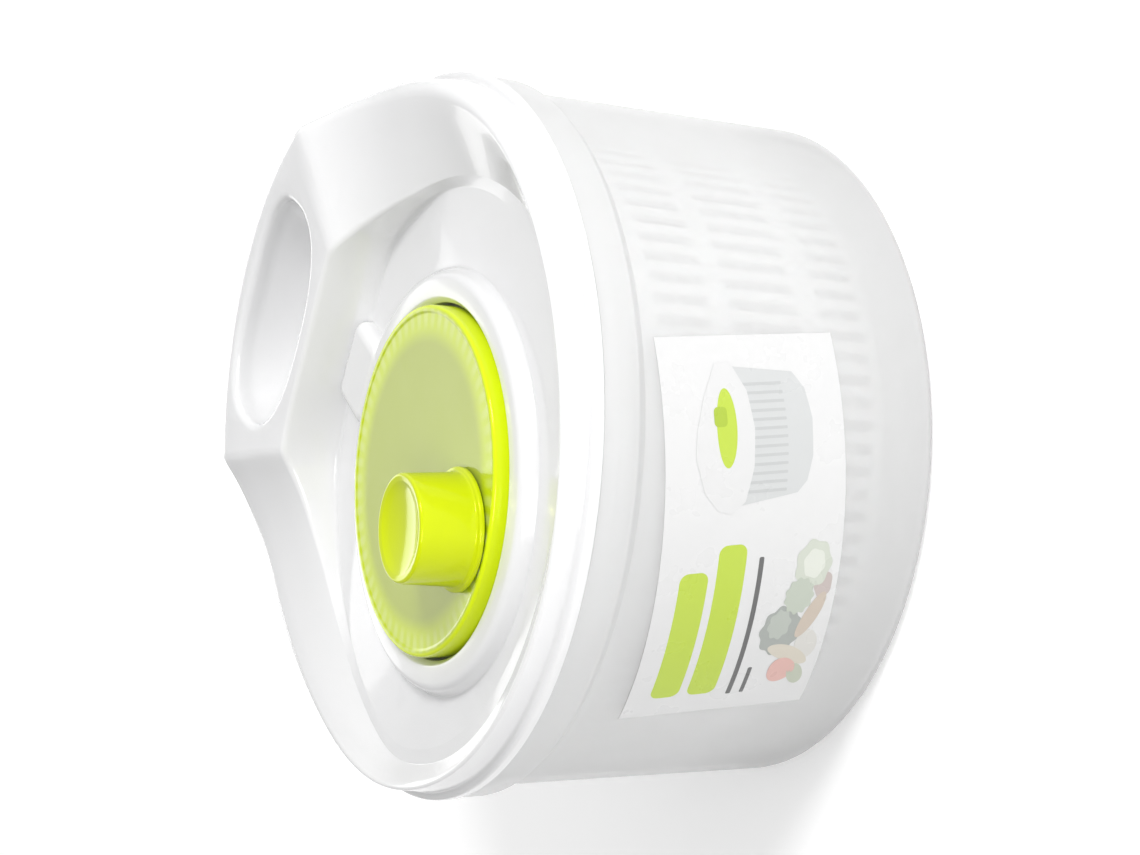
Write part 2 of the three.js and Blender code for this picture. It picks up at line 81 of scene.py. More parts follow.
# ---------- shape of the moulded parts, in millimetres ----------
TURN = 288  # points round the large parts
SMALL_TURN = 96  # points round the small parts
FLOOR_TOP = 113.0  # the lid's sunken floor
LID_WALL = 2.2
SHOULDER_RADIUS = LID_RADIUS - 2.3
SHOULDER_FOOT = 109.8
SHOULDER_LEAN = (0.06, 0.1)  # at the grip and round the rest
RIM_FILLET = (2.4, 5.4)  # at the grip and round the rest
FLOOR_REACH = 82.7  # from the crank's axis to the wall round the sunken floor
FRONT_REACH = 90.5  # from the lid's axis to the front edge of the floor
GRIP_FRONT = 50.0
GRIP_CORNER = 35.4  # degrees from the grip's middle to its side creases
GRIP_TURN = 0.9  # degrees that the grip's middle sits off +Y, towards -X
RIDGE_CORNER = 24.0  # the same corner seen from the crank's axis, and its own turn
RIDGE_TURN = 2.0
WALL_LEAN = 0.10
FLANGE_FOOT = BOWL_TOP + 0.1
PLUG_RADIUS = 101.5
PLUG_INNER = 99.4
COLLAR_RADIUS = 60.2
COLLAR_TOP = 117.5
POCKET_RADIUS = 50.2
POCKET_FLOOR = 109.9
WELL_CENTRE = (-3.3, 76.0)
WELL_SIZE = (38.5, 18.5)
WELL_FLARE = 2.1
WELL_ROWS = (  # part of the oval's size, and height over the well's floor
    (0.05, 0.0), (0.4, 0.0), (0.62, 0.15), (0.72, 0.7), (0.79, 2.0), (0.84, 4.5), (0.88, 8.0),
)
WELL_POWER = 2.5
WELL_FLOOR = 113.6
TAB_X = -2.5
TAB_WIDTH = 27.0
TAB_FRONT = 28.5
TAB_TOP = 118.0
TAB_FILLET = 3.4
# Rim height beyond the grip's corner, and ridge height beyond the ridge's corner: degrees, millimetres.
RIM_FALL = [(GRIP_CORNER, LID_TOP), (37.5, 135.6), (40.5, 132.6), (45, 129.3), (50, 126.8), (55, 125.4),
            (62, 124.4), (70, 123.2), (80, 121.9), (90, 120.9), (120, 119.8), (150, 117.8), (180, 116.6)]
RIDGE_FALL = [(RIDGE_CORNER, 131.0), (29, 127.0), (34, 123.6), (45, 119.0), (55, 116.2), (65, 114.4),
              (80, 113.3), (180, 113.3)]


# ---------- meshes ----------
def link(name, vertices, faces, crease=35.0):
    """A smooth-shaded mesh object from millimetre points, with edges sharper than crease degrees kept."""
    mesh = bpy.data.meshes.new(name)
    mesh.from_pydata([tuple(float(c) * MM for c in v) for v in vertices], [], faces)
    mesh.validate()
    mesh.shade_smooth()
    mesh.set_sharp_from_angle(angle=math.radians(crease))
    piece = bpy.data.objects.new(name, mesh)
    bpy.context.scene.collection.objects.link(piece)
    return piece


def rounded(corners, steps=5):
    """A profile of (radius, height) from corners (radius, height, fillet), each rounded by its fillet."""
    points = []
    count = len(corners)
    for k, corner in enumerate(corners):
        here = Vector(corner[:2])
        fillet = corner[2] if len(corner) > 2 else 0.0
        if not fillet or k in (0, count - 1):
            points.append((here.x, here.y))
            continue
        before = Vector(corners[k - 1][:2]) - here
        after = Vector(corners[k + 1][:2]) - here
        half = before.angle(after) / 2
        reach = min(fillet / math.tan(half), before.length * 0.48, after.length * 0.48)
        radius = reach * math.tan(half)
        centre = here + (before.normalized() + after.normalized()).normalized() * (radius / math.sin(half))
        start = here + before.normalized() * reach - centre
        end = here + after.normalized() * reach - centre
        sweep = start.angle_signed(end)
        for s in range(steps + 1):
            turned = Matrix.Rotation(-sweep * s / steps, 2) @ start
            points.append((centre.x + turned.x, centre.y + turned.y))
    return points


def lathe_mesh(profile, turns, x=0.0, y=0.0):
    """Vertices and faces of a profile turned about the vertical axis at x, y."""
    vertices, faces, rings = [], [], []
    for radius, height in profile:
        if radius < 1e-6:
            rings.append([len(vertices)] * turns)
            vertices.append((x, y, height))
            continue
        rings.append(list(range(len(vertices), len(vertices) + turns)))
        for i in range(turns):
            angle = 2 * math.pi * i / turns
            vertices.append((x + radius * math.cos(angle), y + radius * math.sin(angle), height))
    for low, high in zip(rings, rings[1:]):
        for i in range(turns):
            j = (i + 1) % turns
            face = [low[i], low[j], high[j], high[i]]
            face = [v for k, v in enumerate(face) if v not in face[:k]]
            if len(face) > 2:
                faces.append(face)
    return vertices, faces


def lathe(name, corners, turns=SMALL_TURN, centre=(0.0, 0.0), closed=False, crease=35.0, steps=5):
    """A turned piece. A closed profile ends where it starts, clear of the axis."""
    profile = rounded(corners, steps)
    if closed:
        profile.append(profile[0])
    vertices, faces = lathe_mesh(profile, turns, *centre)
    piece = link(name, vertices, faces, crease)
    if closed:
        weld(piece)
    return piece


def weld(piece, distance=1e-6):
    """Joins the doubled points of a piece's mesh."""
    work = bmesh.new()
    work.from_mesh(piece.data)
    bmesh.ops.remove_doubles(work, verts=work.verts, dist=distance)
    work.to_mesh(piece.data)
    work.free()


def boolean(piece, tool, operation):
    """Joins or cuts a piece with a tool mesh, then removes the tool."""
    modifier = piece.modifiers.new("cut", "BOOLEAN")
    modifier.operation = operation
    modifier.solver = "EXACT"
    modifier.object = tool
    bpy.context.view_layer.update()
    result = bpy.data.meshes.new_from_object(piece.evaluated_get(bpy.context.evaluated_depsgraph_get()))
    piece.modifiers.clear()
    piece.data = result
    bpy.data.objects.remove(tool)
    return piece


def loft(name, rows, crease=35.0, capped=True):
    """A skin through closed rows of equally many points, capped flat at both ends."""
    count = len(rows[0])
    vertices = [point for row in rows for point in row]
    faces = []
    for k in range(len(rows) - 1):
        for i in range(count):
            j = (i + 1) % count
            faces.append([k * count + i, k * count + j, (k + 1) * count + j, (k + 1) * count + i])
    if capped:
        faces.append(list(range(count))[::-1])
        faces.append([(len(rows) - 1) * count + i for i in range(count)])
    return link(name, vertices, faces, crease)


# ---------- lid ----------
def fall(stations, angle):
    """Height at an angle along given stations, flat before the first and smooth after it."""
    if angle <= stations[0][0]:
        return stations[0][1]
    xs = [s[0] for s in stations]
    ys = [s[1] for s in stations]
    slopes = [(ys[k + 1] - ys[k]) / (xs[k + 1] - xs[k]) for k in range(len(xs) - 1)]
    tangents = [slopes[0] * 0.7] + [(a + b) / 2 for a, b in zip(slopes, slopes[1:])] + [0.0]
    k = max(i for i in range(len(xs) - 1) if xs[i] <= angle)
    span = xs[k + 1] - xs[k]
    t = (angle - xs[k]) / span
    return ((2 * t**3 - 3 * t**2 + 1) * ys[k] + (t**3 - 2 * t**2 + t) * span * tangents[k]
            + (3 * t**2 - 2 * t**3) * ys[k + 1] + (t**3 - t**2) * span * tangents[k + 1])


def floor_edge(angle):
    """Distance from the lid's axis to the edge of the sunken floor, at an angle from +Y."""
    c, s = math.cos(angle), math.sin(angle)
    offset = CRANK_CENTRE.y
    reach = offset * c + math.sqrt(FLOOR_REACH**2 - (offset * s) ** 2)
    if c > 0.2:
        reach = soft_min(reach, GRIP_FRONT / c, 5.0)
    return soft_min(reach, FRONT_REACH, 3.0)


def soft_min(a, b, width):
    """The smaller of two lengths, blended over a width where they are close."""
    h = max(width - abs(a - b), 0.0) / width
    return min(a, b) - h * h * width / 4


def lid_station(angle):
    """The lid's key radii and heights at an angle from +Y."""
    edge = floor_edge(angle)
    about_crank = math.atan2(edge * math.sin(angle), edge * math.cos(angle) - CRANK_CENTRE.y)
    ridge = fall(RIDGE_FALL, abs(math.degrees(about_crank) + RIDGE_TURN))
    rim = fall(RIM_FALL, abs(math.degrees(angle) + GRIP_TURN))
    height = ridge - FLOOR_TOP
    ridge_radius = edge + 0.6 + height * WALL_LEAN + max(0.0, 3.5 - height * 0.7)
    lean = SHOULDER_LEAN[1] + (SHOULDER_LEAN[0] - SHOULDER_LEAN[1]) * grip_share(angle)
    top_radius = SHOULDER_RADIUS - (rim - SHOULDER_FOOT) * lean
    return edge, about_crank, ridge, rim, ridge_radius, top_radius


def grip_share(angle):
    """One along the grip, falling to nothing a little way past its corners."""
    past = (abs(math.degrees(angle) + GRIP_TURN) - GRIP_CORNER) / 24.0
    t = min(max(past, 0.0), 1.0)
    return 1 - t * t * (3 - 2 * t)


def around(centre_y, radius, angle, height):
    return (radius * math.sin(angle), centre_y + radius * math.cos(angle), height)


def outer_section(angle):
    """The outer skin above the sunken floor, from the floor's edge out and down to the plug's foot."""
    edge, _, ridge, rim, ridge_radius, top_radius = lid_station(angle)
    height = ridge - FLOOR_TOP
    rim_fillet = RIM_FILLET[1] + (RIM_FILLET[0] - RIM_FILLET[1]) * grip_share(angle)
    across = [(ridge_radius + (top_radius - ridge_radius) * t, ridge + (rim - ridge) * t)
              for t in (0.35, 0.65)]
    return rounded([
        (edge - 2.5, FLOOR_TOP),
        (edge, FLOOR_TOP, min(3.5, 0.4 + height * 0.25)),
        (ridge_radius, ridge, min(2.2, 0.4 + height * 0.15)),
        *across,
        (top_radius, rim, rim_fillet),
        (SHOULDER_RADIUS, SHOULDER_FOOT, 1.2),
        (LID_RADIUS, SHOULDER_FOOT - 0.5, 0.9),
        (LID_RADIUS, FLANGE_FOOT, 0.25),
        (PLUG_RADIUS, FLANGE_FOOT, 0.4),
        (PLUG_RADIUS, PLUG_FOOT, 0.5),
        (PLUG_RADIUS - 2.0, PLUG_FOOT),
    ])


def compass():
    """The directions of the lid's sections, as angles from +Y between minus and plus half a turn."""
    return [math.remainder(2 * math.pi * i / TURN, 2 * math.pi) for i in range(TURN)]


def lid_block(name):
    """The lid's outer form as a solid, with its sunken floor, collar and pocket."""
    angles = compass()
    cy = CRANK_CENTRE.y
    about_crank = [lid_station(a)[1] for a in angles]
    collar = rounded([
        (0.5, POCKET_FLOOR),
        (POCKET_RADIUS, POCKET_FLOOR, 1.0),
        (POCKET_RADIUS, COLLAR_TOP - 1.8, 0.5),
        (POCKET_RADIUS + 1.5, COLLAR_TOP, 0.7),
        (COLLAR_RADIUS - 1.8, COLLAR_TOP, 3.0),
        (COLLAR_RADIUS, FLOOR_TOP, 0.9),
        (COLLAR_RADIUS + 1.0, FLOOR_TOP),
    ])
    rows = [[around(cy, radius, b, height) for b in about_crank] for radius, height in collar]
    sections = [outer_section(a) for a in angles]
    inner = [Vector(point) for point in rows[-1]]
    outer = [Vector(around(0.0, s[0][0], a, FLOOR_TOP)) for a, s in zip(angles, sections)]
    rows += [[p.lerp(q, t) for p, q in zip(inner, outer)] for t in (0.25, 0.5, 0.75)]
    for k in range(len(sections[0])):
        rows.append([around(0.0, s[k][0], a, s[k][1]) for a, s in zip(angles, sections)])
    return loft(name, rows)


def lid_hollow(name):
    """The space under the lid's skin, open at the foot of the plug."""
    angles = compass()
    rows = []
    sections = []
    for a in angles:
        edge, _, ridge, rim, ridge_radius, top_radius = lid_station(a)
        sections.append(rounded([
            (0.5, FLOOR_TOP - LID_WALL),
            (edge + LID_WALL, FLOOR_TOP - LID_WALL, 0.2),
            (ridge_radius + LID_WALL, ridge - LID_WALL, 0.2),
            (top_radius - LID_WALL, rim - LID_WALL, 1.5),
            (SHOULDER_RADIUS - LID_WALL, SHOULDER_FOOT, 0.3),
            (PLUG_INNER, FLANGE_FOOT, 0.3),
            (PLUG_INNER, PLUG_FOOT - 1.0),
        ], 3))
    for k in range(len(sections[0])):
        rows.append([around(0.0, s[k][0], a, s[k][1]) for a, s in zip(angles, sections)])
    return loft(name, rows)


def well_cutter(name, margin, overshoot):
    """The grip's oval finger well as a closed form, grown by a margin, flared where it meets the grip."""
    count = 160

    def outline(scale, grow):
        ring = []
        for i in range(count):
            angle = 2 * math.pi * i / count
            c, s = math.cos(angle), math.sin(angle)
            x = math.copysign(abs(c) ** (2 / WELL_POWER), c) * (WELL_SIZE[0] * scale + grow)
            y = math.copysign(abs(s) ** (2 / WELL_POWER), s) * (WELL_SIZE[1] * scale + grow)
            ring.append((WELL_CENTRE[0] + x, WELL_CENTRE[1] + y))
        return ring

    def surface(x, y):
        angle = math.atan2(x, y)
        _, _, ridge, rim, ridge_radius, top_radius = lid_station(angle)
        t = (math.hypot(x, y) - ridge_radius) / (top_radius - ridge_radius)
        return ridge + (rim - ridge) * t

    rows = []
    base = WELL_FLOOR - margin
    for scale, lift in WELL_ROWS:
        rows.append([(x, y, base + lift) for x, y in outline(scale, margin)])
    flare = WELL_FLARE
    for t in (0.35, 0.6, 0.8):
        ring = outline(0.88 + 0.12 * t, margin)
        rows.append([
            (x, y, (base + 8.0) * (1 - t) + (surface(x, y) - flare) * t) for x, y in ring
        ])
    for k in range(7):
        turn = math.pi / 2 * k / 6
        ring = outline(1.0, margin + flare * (1 - math.cos(turn)) - flare * 0.5)
        rows.append([
            (x, y, surface(x, y) - flare * (1 - math.sin(turn)) - 0.02) for x, y in ring
        ])
    ring = outline(1.0, margin + flare * 0.5 + 0.8)
    rows.append([(x, y, surface(x, y) + 0.06) for x, y in ring])
    rows.append([(x, y, surface(x, y) + overshoot) for x, y in ring])
    return loft(name, rows)


def plug(name, radius, bottom, top, centre):
    """A plain round tool for cutting, with turned ends."""
    return lathe(name, [(0, bottom), (radius, bottom), (radius, top), (0, top)], 48, centre)


def make_tab(name):
    """The low raised block between the collar and the grip."""
    half_x, front, back, corner = TAB_WIDTH / 2, TAB_FRONT, GRIP_FRONT + 1.0, 4.5
    half_y = (back - front) / 2
    middle = (TAB_X, (back + front) / 2)

    def outline(inset):
        ring = []
        for quadrant in range(4):
            for k in range(7):
                angle = math.pi / 2 * (quadrant + k / 6)
                sx = 1 if math.cos(math.pi / 2 * (quadrant + 0.5)) > 0 else -1
                sy = 1 if math.sin(math.pi / 2 * (quadrant + 0.5)) > 0 else -1
                x = sx * (half_x - corner) + (corner - inset) * math.cos(angle)
                y = sy * (half_y - corner) + (corner - inset) * math.sin(angle)
                ring.append((middle[0] + x, middle[1] + y))
        return ring

    rows = [[(x, y, FLOOR_TOP - 1.0) for x, y in outline(0.0)]]
    for k in range(6):
        turn = math.pi / 2 * k / 5
        inset = TAB_FILLET * (1 - math.cos(turn))
        height = TAB_TOP - TAB_FILLET * (1 - math.sin(turn))
        rows.append([(x, y, height) for x, y in outline(inset)])
    rows.append([(x, y, TAB_TOP) for x, y in outline(TAB_FILLET + 0.5)])
    return loft(name, rows)


def make_lid():
    """The lid: skin, grip, finger well, tab, collar, pocket, screw bosses and shaft holes."""
    hollow = lid_hollow("hollow")
    boolean(hollow, well_cutter("cup", LID_WALL, -0.5), "DIFFERENCE")
    crank = (CRANK_CENTRE.x, CRANK_CENTRE.y)
    boolean(hollow, plug("pocket", POCKET_RADIUS + LID_WALL, POCKET_FLOOR - LID_WALL, FLOOR_TOP, crank),
            "DIFFERENCE")
    for k in range(1, 5):
        middle = (high_mm(f"cover_screw_{k}") + low_mm(f"cover_screw_{k}")) / 2
        boss = plug("boss", 4.2, high_mm("inner_cover").z + 0.3, FLOOR_TOP, (middle.x, middle.y))
        boolean(hollow, boss, "DIFFERENCE")
    lid = lid_block("lid_shell")
    boolean(lid, make_tab("tab"), "UNION")
    boolean(lid, well_cutter("well", 0.0, 8.0), "DIFFERENCE")
    boolean(lid, hollow, "DIFFERENCE")
    for centre in ((0.0, 0.0), crank):
        boolean(lid, plug("hole", 6.3, POCKET_FLOOR - 6, POCKET_FLOOR + 4, centre), "DIFFERENCE")
    lid.data.shade_smooth()
    lid.data.set_sharp_from_angle(angle=math.radians(35))
    paint(lid, lid_plastic(), "lid", "lid")


def ring_points(turns):
    return [2 * math.pi * i / turns for i in range(turns)]


# ---------- bowl ----------
BOWL_WALL = 1.8
BOWL_SHOULDER = 101.3  # radius at the foot of the collar
BOWL_COLLAR_FOOT = 93.8
BOWL_BASE = 98.7
POST_RADIUS = 3.5
POST_TOP = 10.6


def bowl_radius(height):
    """The bowl's outer radius at a height below the collar."""
    return BOWL_BASE + (BOWL_SHOULDER - BOWL_BASE) * (height - 3.4) / (BOWL_COLLAR_FOOT - 3.4)


def make_bowl():
    """The frosted bowl with its stepped collar and the centre post that carries the basket."""
    wall = BOWL_WALL
    corners = [
        (0, 0.7), (20, 0.7), (21, 0, 0.4), (bowl_radius(0), 0, 4.0),
        (BOWL_SHOULDER, BOWL_COLLAR_FOOT - 0.8, 1.6), (BOWL_RADIUS - 0.4, BOWL_COLLAR_FOOT + 2.2, 2.0),
        (BOWL_RADIUS, BOWL_TOP, 0.3), (BOWL_RADIUS - wall, BOWL_TOP, 0.5),
        (BOWL_RADIUS - wall - 0.8, BOWL_COLLAR_FOOT + 2.9, 0.8),
        (BOWL_SHOULDER - wall, BOWL_COLLAR_FOOT + 1.0, 0.8), (bowl_radius(0) - wall, wall + 0.2, 3.0),
        (24, wall + 0.2), (22, wall + 0.8, 1.0), (POST_RADIUS + 1.8, wall + 0.8, 1.2),
        (POST_RADIUS, wall + 3.0, 0.8), (POST_RADIUS, POST_TOP - 0.1, 1.4), (0, POST_TOP - 0.1),
    ]
    bowl = lathe("bowl_shell", corners, TURN)
    paint(bowl, frosted(), "bowl", "bowl")


# ---------- basket ----------
BASKET_WALL = 1.8
BASKET_HUB = 6.6
BASKET_FOOT = 90.2
BASKET_MOUTH = 93.6
SLOT_TIERS = ((14.6, 29.6), (36.8, 59.4), (65.7, 83.0))
SLOT_PITCH = 4  # columns in one slot and the bar beside it
FLOOR_RINGS = ((22.0, 44.0), (50.0, 76.0))
LUG_COUNT = 4
LUG = (91.8, 94.2, 6.5)  # inner and outer radius, and half the width
LUG_FOOT = 95.0
LUG_ROUNDING = ((0.0, 0.7), (0.3, 0.25), (1.0, 0.0))  # height over the foot, and how far the sides step in
NOTCH = (90.8, 94.7, 7.0)  # the same measures of the space that a lug drops into
NOTCH_FOOT = 94.7


def basket_rows():
    """Pairs of outer and inner points from the hub's hole, across the floor and up the wall."""
    outer, inner, kinds = [], [], []

    def add(out_point, in_point, kind):
        outer.append(out_point)
        inner.append(in_point)
        kinds.append(kind)

    floor = BASKET_FLOOR
    add((BASKET_HUB, floor), (BASKET_HUB, floor + 2.0), "solid")
    for ring, (start, end) in enumerate(FLOOR_RINGS):
        add((start, floor), (start, floor + 2.0), f"floor{ring}")
        add((end, floor), (end, floor + 2.0), "solid")
    for k in range(5):
        turn = math.pi / 2 * k / 4
        radius = BASKET_FOOT - 6 + 6 * math.sin(turn)
        add((radius, floor + 6 - 6 * math.cos(turn)),
            (BASKET_FOOT - 6 + 4.2 * math.sin(turn), floor + 6.2 - 4.2 * math.cos(turn)), "solid")
    slope = (BASKET_MOUTH - BASKET_FOOT) / (BASKET_TOP - 10 - floor)
    for tier, (bottom, top) in enumerate(SLOT_TIERS):
        for height, kind in ((bottom, f"tier{tier}"), (top, "solid")):
            height = max(height, floor + 6.4)
            radius = BASKET_FOOT + (height - floor - 6) * slope
            add((radius, height), (radius - BASKET_WALL, height), kind)
            if kind == "solid":
                band = radius + 0.35
                add((band, height + 1.0), (radius - BASKET_WALL, height + 1.0), "solid")
                if tier < len(SLOT_TIERS) - 1:
                    following = SLOT_TIERS[tier + 1][0]
                    add((band, following - 1.0), (radius - BASKET_WALL, following - 1.0), "solid")
    top = BASKET_TOP
    add((BASKET_MOUTH, top - 4.4), (BASKET_MOUTH - BASKET_WALL, top - 4.4), "solid")
    add((BASKET_MOUTH + 0.5, top - 3.2), (BASKET_MOUTH - BASKET_WALL, top - 3.2), "solid")
    add((BASKET_LIP, top - 2.0), (BASKET_MOUTH - BASKET_WALL + 0.2, top - 1.0), "solid")
    add((BASKET_LIP, top - 0.3), (BASKET_MOUTH - BASKET_WALL + 0.6, top - 0.1), "solid")
    add((BASKET_LIP - 0.5, top), (BASKET_MOUTH - BASKET_WALL + 1.2, top), "solid")
    return outer, inner, kinds


def is_open(kind, column, columns):
    """Whether the wall is open in this column above a row of this kind."""
    if kind.startswith("tier"):
        return column % SLOT_PITCH in (0, 1)
    if kind == "floor0":
        return column % (columns // 18) < 8
    if kind == "floor1":
        return column % (columns // 36) < 5
    return False


def make_basket():
    """The basket: a thin wall and floor with three tiers of narrow slots and a slotted floor."""
    columns = 90 * SLOT_PITCH
    outer, inner, kinds = basket_rows()
    vertices = []
    for side in (outer, inner):
        for radius, height in side:
            for a in ring_points(columns):
                vertices.append((radius * math.cos(a), radius * math.sin(a), height))
    count = len(outer)

    def index(side, row, column):
        return (side * count + row) * columns + column % columns

    faces = []
    for row in range(count - 1):
        for column in range(columns):
            if is_open(kinds[row], column, columns):
                continue
            here = [(row, column), (row, column + 1), (row + 1, column + 1), (row + 1, column)]
            faces.append([index(0, *p) for p in here])
            faces.append([index(1, *p) for p in here[::-1]])
            beside = ((row - 1, column), (row, column + 1), (row + 1, column), (row, column - 1))
            for k, (r, c) in enumerate(beside):
                outside = r < 0 or r >= count - 1
                if outside or is_open(kinds[r], c % columns, columns):
                    p, q = here[k], here[(k + 1) % 4]
                    faces.append([index(0, *q), index(0, *p), index(1, *p), index(1, *q)])
    basket = link("basket_wall", vertices, faces, 30.0)
    drop_loose(basket)
    for k in range(LUG_COUNT):
        angle = 2 * math.pi * k / LUG_COUNT
        rows = [block_ring(angle, *NOTCH, height) for height in (NOTCH_FOOT, BASKET_TOP + 1.0)]
        boolean(basket, loft("notch", rows), "DIFFERENCE")
    basket.data.shade_smooth()
    basket.data.set_sharp_from_angle(angle=math.radians(30))
    paint(basket, natural_plastic(), "basket", "basket")


def block_ring(angle, near, far, half_width, height):
    """Four corners of a rectangle that lies across a radius, at one height."""
    corners = ((far, -half_width), (far, half_width), (near, half_width), (near, -half_width))
    return [(along * math.cos(angle) - across * math.sin(angle),
             along * math.sin(angle) + across * math.cos(angle), height) for along, across in corners]


def drop_loose(piece):
    """Removes the points that no face uses."""
    work = bmesh.new()
    work.from_mesh(piece.data)
    bmesh.ops.delete(work, geom=[v for v in work.verts if not v.link_faces], context="VERTS")
    work.to_mesh(piece.data)
    work.free()


# ---------- crank ----------
CRANK_PLATE = 118.8
CRANK_FOOT = 111.8
CRANK_TOP = high_mm("crank_disc").z
SHAFT_FOOT = low_mm("crank_disc").z
SHAFT_RADIUS = 4.0
KNOB_FOOT = CRANK_TOP + 0.3
KNOB_FLANGE = 17.0
DISH_RADIUS = 45.0  # of the sphere that hollows the knob's top


def make_crank():
    """The crank disc with its skirt, rounded edge, hub and shaft."""
    centre = (CRANK_CENTRE.x, CRANK_CENTRE.y)
    radius = CRANK_RADIUS
    disc = lathe("crank_plate", [
        (0, CRANK_PLATE - 3), (1.7, CRANK_PLATE - 3), (1.7, SHAFT_FOOT), (SHAFT_RADIUS, SHAFT_FOOT),
        (SHAFT_RADIUS, 115.6, 0.3), (8, 115.6, 0.5), (8, CRANK_PLATE, 1.0),
        (radius - 1.0, CRANK_PLATE, 0.5), (radius - 1.0, CRANK_FOOT, 0.2), (radius, CRANK_FOOT, 0.3),
        (radius, CRANK_TOP, 1.1), (radius - 1.8, CRANK_TOP, 0.6), (radius - 2.4, CRANK_TOP - 0.3, 0.6),
        (0, CRANK_TOP - 0.3),
    ], TURN, centre)
    knob_at = (KNOB_CENTRE.x, KNOB_CENTRE.y)
    boolean(disc, plug("hole", SHAFT_RADIUS + 0.1, CRANK_PLATE - 1, CRANK_TOP + 1, knob_at), "DIFFERENCE")
    disc.data.shade_smooth()
    disc.data.set_sharp_from_angle(angle=math.radians(35))
    paint(disc, crank_plastic(), "crank", "crank_disc")
    dress(frame["nodes"]["ring_gear"], lime_plastic())


def make_knob():
    """The knob: a tapered cup with a foot flange and a dished top, turned over a stem."""
    centre = (KNOB_CENTRE.x, KNOB_CENTRE.y)
    foot, top, stem = KNOB_FOOT, KNOB_TOP, low_mm("knob").z
    dish = []
    for radius in (11.2, 9.6, 8.0, 6.4, 4.8, 3.2, 1.6, 0.0):
        rise = DISH_RADIUS - math.sqrt(DISH_RADIUS**2 - radius**2)
        dish.append((radius, top - 2.6 + rise))
    knob = lathe("knob_cup", [
        (0, stem), (2.5, stem, 0.4), (2.5, CRANK_PLATE - 0.3), (SHAFT_RADIUS, CRANK_PLATE - 0.3, 0.2),
        (SHAFT_RADIUS, top - 5.2, 0.8), (12.2, top - 5.2, 1.5), (13.3, foot, 0.2), (KNOB_FLANGE, foot, 0.5),
        (KNOB_FLANGE, foot + 1.5, 0.7), (15.7, foot + 1.7, 0.7), (15.4, foot + 4.0), (14.95, top - 3.5),
        (14.8, top, 1.9), (12.6, top - 0.5, 0.8), *dish,
    ], 144, centre, steps=8)
    paint(knob, knob_plastic(), "knob", "knob")


# ---------- parts under the lid ----------
def make_inner_cover():
    """The flat cover that closes the lid's gears, with a stiffening rib and screw holes."""
    low, high = low_mm("inner_cover").z, high_mm("inner_cover").z
    cover = lathe("cover_plate", [
        (9, low), (12, low), (12.6, low + 0.5, 0.3), (55, low + 0.5, 0.3), (56, low, 0.3), (60, low, 0.3),
        (61, low + 0.5, 0.3), (COVER_RADIUS - 5, low + 0.5, 0.3), (COVER_RADIUS - 4, low, 0.3),
        (COVER_RADIUS, low, 0.5), (COVER_RADIUS, high, 0.4), (9, high), (9, low),
    ], TURN)
    weld(cover)
    for k in range(1, 5):
        middle = (high_mm(f"cover_screw_{k}") + low_mm(f"cover_screw_{k}")) / 2
        boolean(cover, plug("hole", 1.6, low - 1, high + 1, (middle.x, middle.y)), "DIFFERENCE")
    paint(cover, lid_plastic(), "lid", "inner_cover")


def make_drive_plate():
    """The plate that turns the basket: a ribbed disc with a hub and four lugs at its rim."""
    low, high = 98.2, 100.0
    plate = lathe("drive_disc", [
        (1.8, low), (10, low), (11, low + 0.6, 0.4), (40, low + 0.6, 0.4), (41, low, 0.4), (46, low, 0.4),
        (47, low + 0.6, 0.4), (84, low + 0.6, 0.4), (85, low, 0.4), (DRIVE_RADIUS, low, 0.5),
        (DRIVE_RADIUS, high, 0.5), (8, high, 0.4), (8, high + 3.5, 0.4), (4.3, high + 3.5), (4.3, high),
        (1.8, high), (1.8, low),
    ], TURN)
    weld(plate)
    near, far, half_width = LUG
    for k in range(LUG_COUNT):
        angle = 2 * math.pi * k / LUG_COUNT
        rows = [block_ring(angle, near + inset, far - inset, half_width - inset, LUG_FOOT + lift)
                for lift, inset in LUG_ROUNDING]
        rows.append(block_ring(angle, near, far, half_width, high - 1.0))
        boolean(plate, loft("lug", rows), "UNION")
    plate.data.shade_smooth()
    plate.data.set_sharp_from_angle(angle=math.radians(35))
    paint(plate, natural_plastic(), "drive", "drive_plate")


def make_small_parts():
    """The bushes, screws, washers, clips and pinion keep their own solids and get their materials."""
    steel = brushed_steel()
    acetal = acetal_plastic()
    for name, node in frame["nodes"].items():
        if "screw" in name or "washer" in name or name == "knob_clip":
            dress(node, steel)
        if "bush" in name or name == "pinion":
            dress(node, acetal)


# ---------- label ----------
LABEL_BEARING = -74.0
LABEL_TILT = 5.3
LABEL_MIDDLE = 56.5
LABEL_SIZE = (111.0, 56.0)
SHEET_FOOT = 0.08
SHEET_THICKNESS = 0.1
PRINT_FOOT = 0.17
PRINT_STEP = 0.03


def on_label(x, y, lift):
    """A point on the bowl's wall from a place on the flat label, x to the right and y up."""
    tilt = math.radians(LABEL_TILT)
    across = x * math.cos(tilt) - y * math.sin(tilt)
    height = LABEL_MIDDLE + x * math.sin(tilt) + y * math.cos(tilt)
    radius = bowl_radius(height) + lift
    angle = math.radians(LABEL_BEARING) + across / bowl_radius(LABEL_MIDDLE)
    return (radius * math.cos(angle), radius * math.sin(angle), height)


